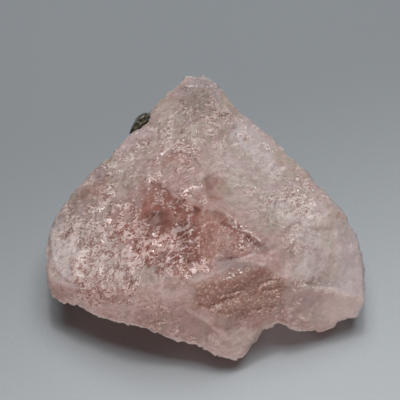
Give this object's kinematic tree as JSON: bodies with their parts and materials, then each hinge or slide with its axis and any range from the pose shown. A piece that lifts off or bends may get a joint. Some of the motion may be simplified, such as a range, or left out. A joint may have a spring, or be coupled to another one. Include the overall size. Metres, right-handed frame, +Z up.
{
  "type": "rough morganite crystal",
  "caption": "Rough broken chunk of pale pink morganite with a small dark mica crust on its back edge, lying on one flat face.",
  "frame": {"origin": "middle of the footprint's box, on the flat face that the chunk lies on", "axes": "+Z up through the chunk's thickness, +Y towards its pointed upper end, +X towards its rounded right lobe"},
  "size_m": [0.0536, 0.0522, 0.0192],
  "materials": {
    "morganite": "satin",
    "mica": "gloss"
  },
  "bodies": {
    "root": {"morganite": "morganite", "mica_crust": "mica"}
  },
  "joints": []
}
